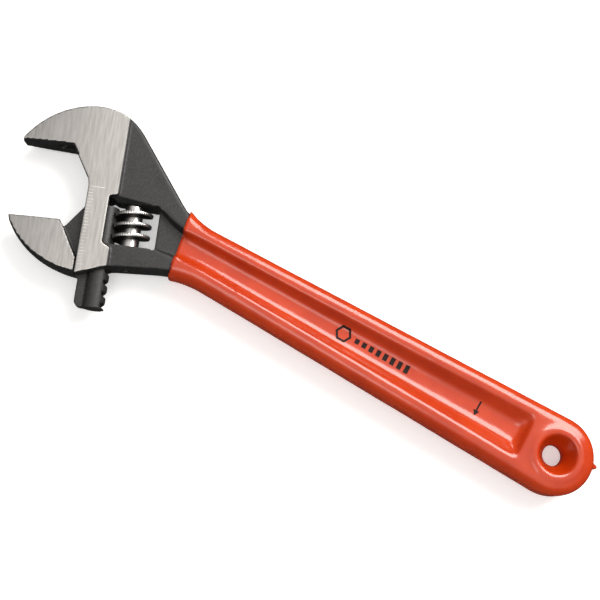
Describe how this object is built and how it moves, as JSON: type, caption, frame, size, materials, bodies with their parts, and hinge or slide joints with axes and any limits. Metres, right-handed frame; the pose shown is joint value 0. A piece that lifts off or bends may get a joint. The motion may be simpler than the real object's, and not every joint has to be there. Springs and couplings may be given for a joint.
{
  "type": "adjustable wrench",
  "caption": "Adjustable wrench: forged head with a sliding jaw on a rack, driven by a worm screw, and a dipped I-section handle with a hang hole.",
  "frame": {"origin": "centre of the hang hole at half thickness", "axes": "+X along the handle towards the head, +Y towards the side the sliding jaw opens to, +Z square to the flat sides; the jaws point 22.5 degrees from +X towards +Y"},
  "size_m": [0.3155, 0.092, 0.021],
  "materials": {
    "forged_body": "black phosphate on forged sides, bright ground faces",
    "grip_vinyl": "thick glossy dipped vinyl, orange red",
    "forged_jaw": "black phosphate on forged sides, bright ground faces",
    "worm_steel": "turned and polished, knurled crest",
    "pin_steel": "bright drawn",
    "spring_steel": "oiled spring wire"
  },
  "bodies": {
    "frame": {"body": "forged_body", "grip": "grip_vinyl", "worm_pin": "pin_steel", "worm_spring": "spring_steel"},
    "jaw": {"movable_jaw": "forged_jaw"},
    "worm": {"adjusting_worm": "worm_steel"}
  },
  "joints": [
    {"name": "jaw_slide", "type": "slide", "parent": "frame", "child": "jaw", "axis": [-0.3827, 0.9239, 0], "range_m": [-0.0379, 0]},
    {"name": "worm_spin", "type": "hinge", "parent": "frame", "child": "worm", "pos_m": [0.22635, 0.00289, 0], "axis": [-0.3827, 0.9239, 0], "range_deg": [-10, 2500]}
  ],
  "couplings": [
    {"joint": "worm_spin", "follows": "jaw_slide", "rad_per_m": -1142.4}
  ]
}
